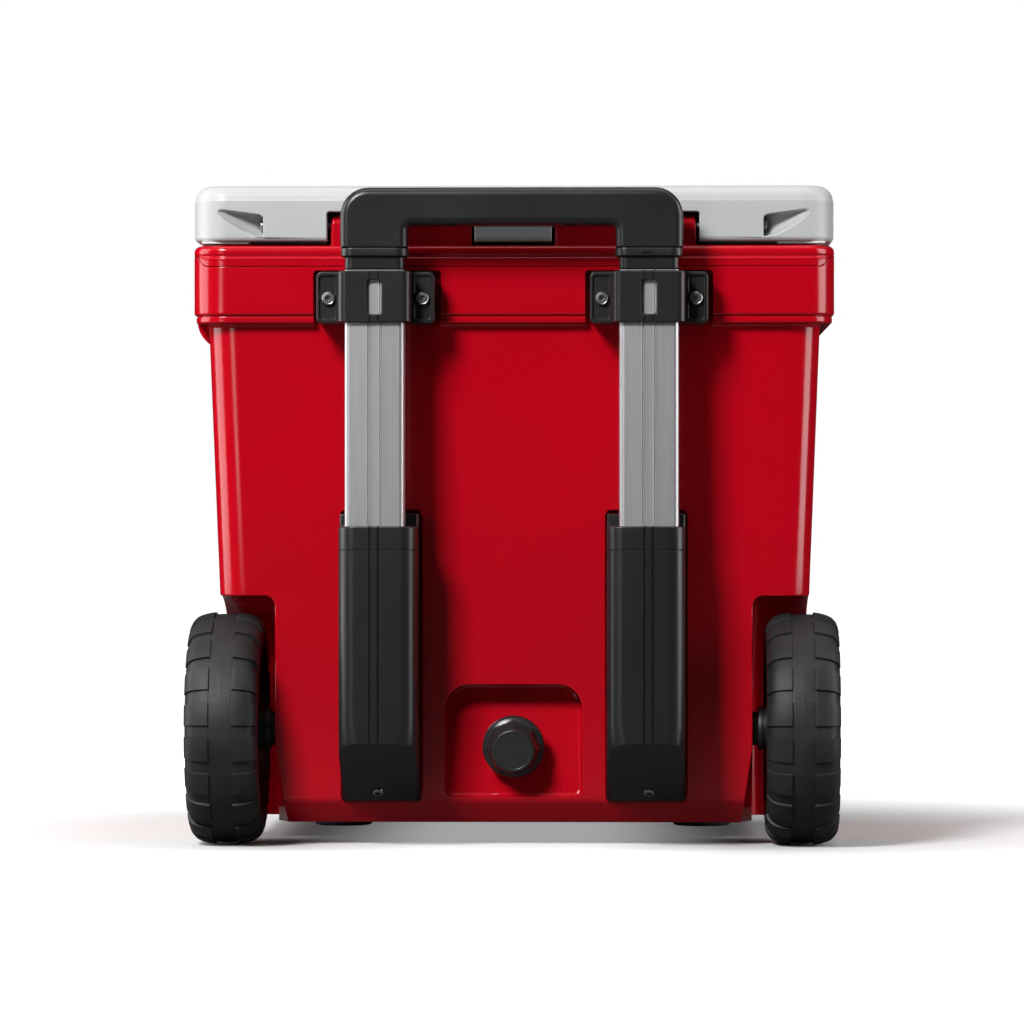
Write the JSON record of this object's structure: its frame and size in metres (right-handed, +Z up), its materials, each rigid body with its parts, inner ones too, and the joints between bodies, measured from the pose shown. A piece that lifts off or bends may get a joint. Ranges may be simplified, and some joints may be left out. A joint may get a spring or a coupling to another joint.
{
  "type": "wheeled cooler",
  "caption": "Hard insulated cooler box with a hinged lid, a telescoping pull handle on flat tubes, large wheels in rear wells and a screw-out drain cap.",
  "frame": {"origin": "on the floor, under the middle of the object's box", "axes": "+Z up; -Y towards the pull handle and drain side; +X to the right seen from the handle side"},
  "size_m": [0.5104, 0.474, 0.519],
  "materials": {
    "red_shell": "glossy moulded plastic",
    "lid_grey": "semi-gloss moulded plastic",
    "liner_white": "smooth food-safe plastic",
    "black_plastic": "satin, fine-grained glass-filled nylon",
    "anodised_tube": "satin anodised extrusion",
    "bright_steel": "plain stainless steel",
    "tyre_rubber": "grained moulded rubber",
    "soft_rubber": "soft moulded rubber",
    "insulation": "rigid foam"
  },
  "bodies": {
    "root": {"outer_shell": "red_shell", "top_frame": "red_shell", "inner_liner": "liner_white", "foam_core": "insulation", "drain_fitting": "black_plastic", "drain_nut": "black_plastic", "foot_left": "soft_rubber", "foot_right": "soft_rubber", "outer_tube_left": "anodised_tube", "outer_tube_right": "anodised_tube", "clamp_bracket_left": "black_plastic", "clamp_bracket_right": "black_plastic", "bracket_screw_left_outer": "bright_steel", "bracket_screw_right_outer": "bright_steel", "bracket_screw_left_inner": "bright_steel", "bracket_screw_right_inner": "bright_steel", "tube_housing_left": "black_plastic", "tube_housing_right": "black_plastic", "housing_screw_left": "bright_steel", "housing_screw_right": "bright_steel", "hub_spacer_left": "black_plastic", "hub_spacer_right": "black_plastic", "stub_axle_left": "bright_steel", "stub_axle_right": "bright_steel"},
    "wheel_left": {"tyre_left": "tyre_rubber", "wheel_rim_left": "black_plastic", "wheel_bush_left": "liner_white", "wheel_cap_left": "black_plastic"},
    "wheel_right": {"tyre_right": "tyre_rubber", "wheel_rim_right": "black_plastic", "wheel_bush_right": "liner_white", "wheel_cap_right": "black_plastic"},
    "handle_middle": {"middle_tube_left": "anodised_tube", "middle_tube_right": "anodised_tube"},
    "handle_upper": {"grip": "black_plastic", "button_spring": "bright_steel", "inner_tube_left": "anodised_tube", "inner_tube_right": "anodised_tube", "collar_left": "black_plastic", "collar_right": "black_plastic"},
    "release": {"release_button": "black_plastic", "release_yoke": "black_plastic", "release_rod_left": "bright_steel", "release_rod_right": "bright_steel"},
    "lid": {"lid_shell": "lid_grey", "lid_liner": "liner_white", "lid_foam": "insulation", "lid_gasket": "soft_rubber", "hinge_pin_left": "bright_steel", "hinge_pin_right": "bright_steel", "latch_pin_left": "bright_steel", "latch_pin_right": "bright_steel"},
    "latch_left": {"latch_left": "black_plastic"},
    "latch_right": {"latch_right": "black_plastic"},
    "drain_seal_body": {"drain_seal": "soft_rubber"},
    "drain_cap_body": {"drain_cap": "black_plastic"}
  },
  "joints": [
    {"name": "wheel_left_spin", "type": "hinge", "parent": "root", "child": "wheel_left", "pos_m": [-0.2263, -0.143, 0.0915], "axis": [1, 0, 0], "continuous": true},
    {"name": "wheel_right_spin", "type": "hinge", "parent": "root", "child": "wheel_right", "pos_m": [0.2263, -0.143, 0.0915], "axis": [1, 0, 0], "continuous": true},
    {"name": "handle_middle_slide", "type": "slide", "parent": "root", "child": "handle_middle", "axis": [0, 0, 1], "range_m": [0, 0.255]},
    {"name": "handle_upper_slide", "type": "slide", "parent": "handle_middle", "child": "handle_upper", "axis": [0, 0, 1], "range_m": [0, 0.25]},
    {"name": "release_press", "type": "slide", "parent": "handle_upper", "child": "release", "axis": [0, 0, -1], "range_m": [0, 0.0045], "stiffness_N_per_m": 900, "springref_m": -0.004, "deforming": ["button_spring"]},
    {"name": "lid_open", "type": "hinge", "parent": "root", "child": "lid", "pos_m": [0, -0.1715, 0.4865], "axis": [1, 0, 0], "range_deg": [0, 90]},
    {"name": "latch_left_swing", "type": "hinge", "parent": "lid", "child": "latch_left", "pos_m": [-0.165, 0.2245, 0.5], "axis": [1, 0, 0], "range_deg": [0, 95]},
    {"name": "latch_right_swing", "type": "hinge", "parent": "lid", "child": "latch_right", "pos_m": [0.165, 0.2245, 0.5], "axis": [1, 0, 0], "range_deg": [0, 95]},
    {"name": "drain_back_out", "type": "slide", "parent": "root", "child": "drain_seal_body", "axis": [0, -0.9903, -0.1392], "range_m": [0, 0.0121]},
    {"name": "drain_turn", "type": "hinge", "parent": "drain_seal_body", "child": "drain_cap_body", "pos_m": [0, -0.168, 0.078], "axis": [0, -0.9903, -0.1392], "range_deg": [0, 1440]}
  ],
  "couplings": [
    {"joint": "drain_back_out", "follows": "drain_turn", "m_per_rad": 0.00047746}
  ]
}
